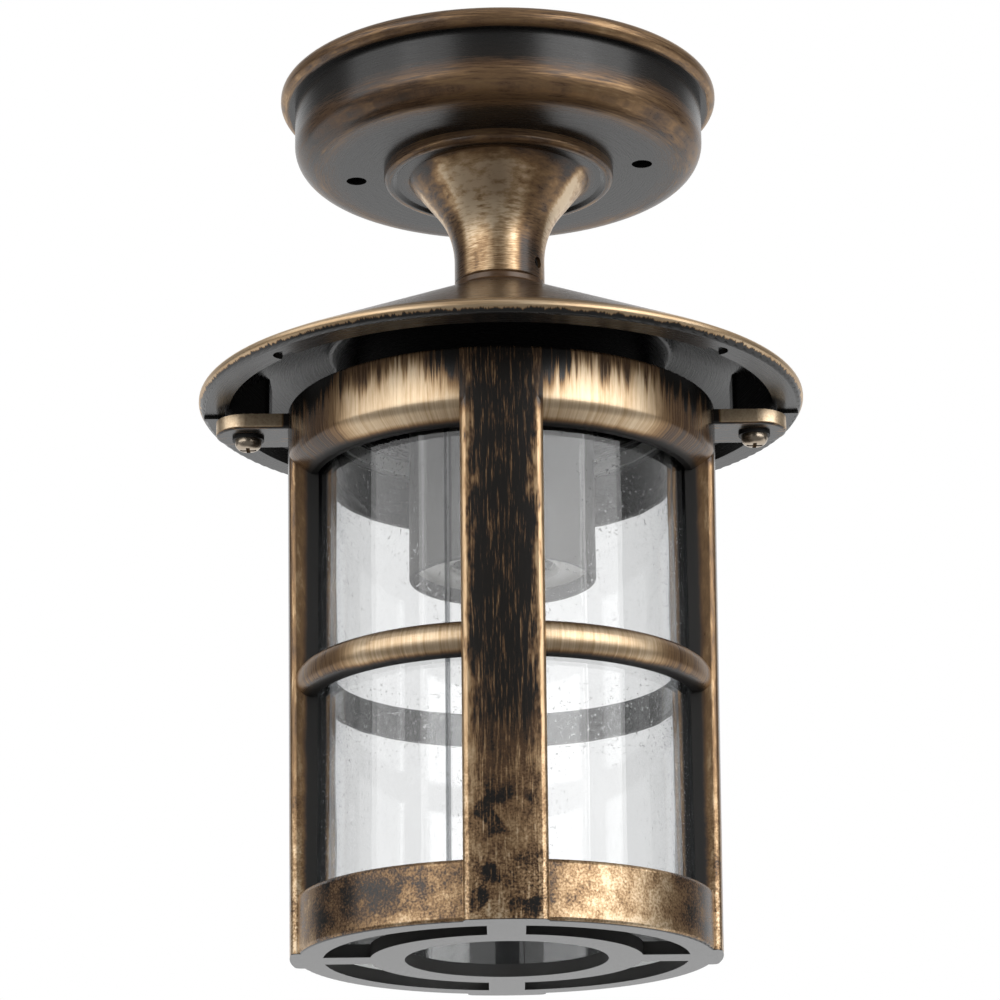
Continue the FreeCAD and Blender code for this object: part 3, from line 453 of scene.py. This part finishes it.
def dress_all():
    dress(canopy_finish(), "canopy")
    dress(stem_finish(), "stem")
    dress(hood_finish(), "hood")
    dress(cage_finish(), "cage")
    dress(clear_glass(), "glass_cylinder")
    dress(plain("zinc_plate", (0.55, 0.55, 0.54), 0.34, 1.0), "through_tube", "toothed_washer",
          "canopy_nut", "holder_nut", "holder_screws", "terminal_block_screw")
    dress(plain("plated_screw", (0.50, 0.42, 0.33), 0.30, 1.0, 0.08), "cage_screws")
    dress(plain("washer_rubber", (0.012, 0.012, 0.012), 0.55), "cage_washers")
    dress(plain("black_steel", (0.03, 0.03, 0.03), 0.42, 0.6), "stem_grub_screw")
    dress(plain("foam_gasket", (0.03, 0.03, 0.032), 0.85, 0.0, 0.2), "ceiling_gasket")
    dress(plain("black_enamel", (0.035, 0.032, 0.029), 0.55, 0.0, 0.08, Specular_IOR_Level=0.3),
          "lampholder_cup")
    dress(plain("glazed_porcelain", (0.62, 0.60, 0.56), 0.24, 0.0, 0.03), "lampholder_core")
    dress(plain("rolled_aluminium", (0.70, 0.70, 0.69), 0.32, 1.0), "lamp_screw_shell")
    dress(plain("plain_brass", (0.72, 0.52, 0.24), 0.30, 1.0), "lamp_centre_contact",
          "terminal_clamp_screws", "earth_tag", "earth_screw")
    dress(plain("white_nylon", (0.78, 0.77, 0.72), 0.48, 0.0, 0.04), "terminal_block")
    dress(plain("brown_insulation", (0.13, 0.055, 0.028), 0.42, 0.0, 0.05), "live_lead")
    dress(plain("blue_insulation", (0.03, 0.12, 0.42), 0.42, 0.0, 0.05), "neutral_lead")
    dress(plain("green_insulation", (0.16, 0.38, 0.04), 0.42, 0.0, 0.05), "earth_lead")
    dress(plain("milky_silicone", (0.72, 0.72, 0.70), 0.45, 0.0, 0.04), "glass_lower_seal",
          "glass_upper_seal")


# ---- stage, light and camera --------------------------------------------------------------------------
FLOOR_DROP = 1.5
FLOOR_SIZE = 14.0
FLOOR_FRONT_GLOW = 0.20

# Strength of the room: for diffuse light, and in gloss in front of the lantern and overhead
ROOM_LIGHT = 0.35
FRONT_GLOW = 0.10
OVERHEAD_GLOW = 0.45

# Softboxes: azimuth from the front towards +X in degrees, width in metres and power in watts
SOFTBOX_DISTANCE = 1.7
SOFTBOX_ELEVATION = 15
SOFTBOX_HEIGHT = 0.95
SOFTBOXES = {
    "right_softbox": (38, 0.80, 8.8),
    "right_side_softbox": (64, 0.80, 6.0),
    "left_softbox": (-38, 0.80, 5.2),
    "left_side_softbox": (-68, 1.15, 5.6),
}

CAMERA_PLACE = (-0.00052, -0.92546, -0.40119)
CAMERA_PITCH = 107.167
CAMERA_ROLL = -0.59
CAMERA_LENS = 132.35
CAMERA_SENSOR = 36.0


def pale_floor():
    """Plain pale paper. It is white through glass, and in gloss it is white behind the lantern and dim
    in front."""
    made = Finish("pale_floor")
    ray = made.outputs("ShaderNodeLightPath")
    gloss, clear = ray["Is Glossy Ray"], ray["Is Transmission Ray"]
    x, y, z = made.place()
    behind = (y * MM).rise(-0.4, 0.5) * (1.0 - FLOOR_FRONT_GLOW) + FLOOR_FRONT_GLOW
    paper = made.principled(Base_Color=(0.86, 0.86, 0.86, 1.0), Roughness=0.9)
    dark = made.node("ShaderNodeEmission", {}, {"Strength": 0.0})
    bright = made.node("ShaderNodeEmission", {}, {"Strength": 1.0})
    glow = made.mix_shaders(clear + (behind - clear) * gloss, dark, bright)
    made.show(made.mix_shaders(gloss.most(clear), paper, glow))
    return made


def build_stage():
    bpy.ops.mesh.primitive_plane_add(size=FLOOR_SIZE, location=(0, 0, -FLOOR_DROP))
    floor = bpy.context.object
    floor.name = "floor"
    floor.data.materials.append(pale_floor().material)


def build_world():
    """White to the camera and through glass. In gloss it is white behind the lantern, fair overhead and
    dim in front."""
    world = bpy.data.worlds.new("studio")
    bpy.context.scene.world = world
    world.use_nodes = True
    made = Tree(world.node_tree, "ShaderNodeOutputWorld")
    ray = made.outputs("ShaderNodeLightPath")
    x, y, z = made.parts(made.outputs("ShaderNodeTexCoord")["Generated"])
    around = y.rise(0.50, 0.86) * (1.0 - FRONT_GLOW) + FRONT_GLOW + z.rise(0.30, 0.80) * OVERHEAD_GLOW
    gloss = ray["Is Glossy Ray"]
    seen = ray["Is Camera Ray"].most(ray["Is Transmission Ray"])
    strength = seen.most((1.0 - gloss) * ROOM_LIGHT + gloss * around)
    room = {"Color": (1.0, 1.0, 1.0, 1.0), "Strength": strength}
    made.show(made.node("ShaderNodeBackground", {}, room))


def build_softbox(name, azimuth, width, power):
    """Lamp aimed at the middle of the lantern."""
    middle = (cad_low + cad_high) / 2
    a, e = math.radians(azimuth), math.radians(SOFTBOX_ELEVATION)
    away = Vector((math.sin(a) * math.cos(e), -math.cos(a) * math.cos(e), math.sin(e)))
    lamp = bpy.data.lights.new(name, "AREA")
    lamp.shape = "RECTANGLE"
    lamp.size, lamp.size_y = width, SOFTBOX_HEIGHT
    lamp.energy = power
    placed = bpy.data.objects.new(name, lamp)
    placed.location = middle + away * SOFTBOX_DISTANCE
    placed.rotation_euler = away.to_track_quat("Z", "Y").to_euler()
    bpy.context.scene.collection.objects.link(placed)


def build_camera():
    camera = bpy.data.cameras.new("camera")
    camera.lens = CAMERA_LENS
    camera.sensor_width = CAMERA_SENSOR
    placed = bpy.data.objects.new("camera", camera)
    pitch = Euler((math.radians(CAMERA_PITCH), 0.0, 0.0)).to_matrix().to_4x4()
    roll = Matrix.Rotation(math.radians(CAMERA_ROLL), 4, "Z")
    placed.matrix_world = Matrix.Translation(CAMERA_PLACE) @ pitch @ roll
    bpy.context.scene.collection.objects.link(placed)
    bpy.context.scene.camera = placed


dress_all()
build_stage()
build_world()
for softbox, (azimuth, width, power) in SOFTBOXES.items():
    build_softbox(softbox, azimuth, width, power)
build_camera()
bpy.context.scene.view_settings.view_transform = "Standard"
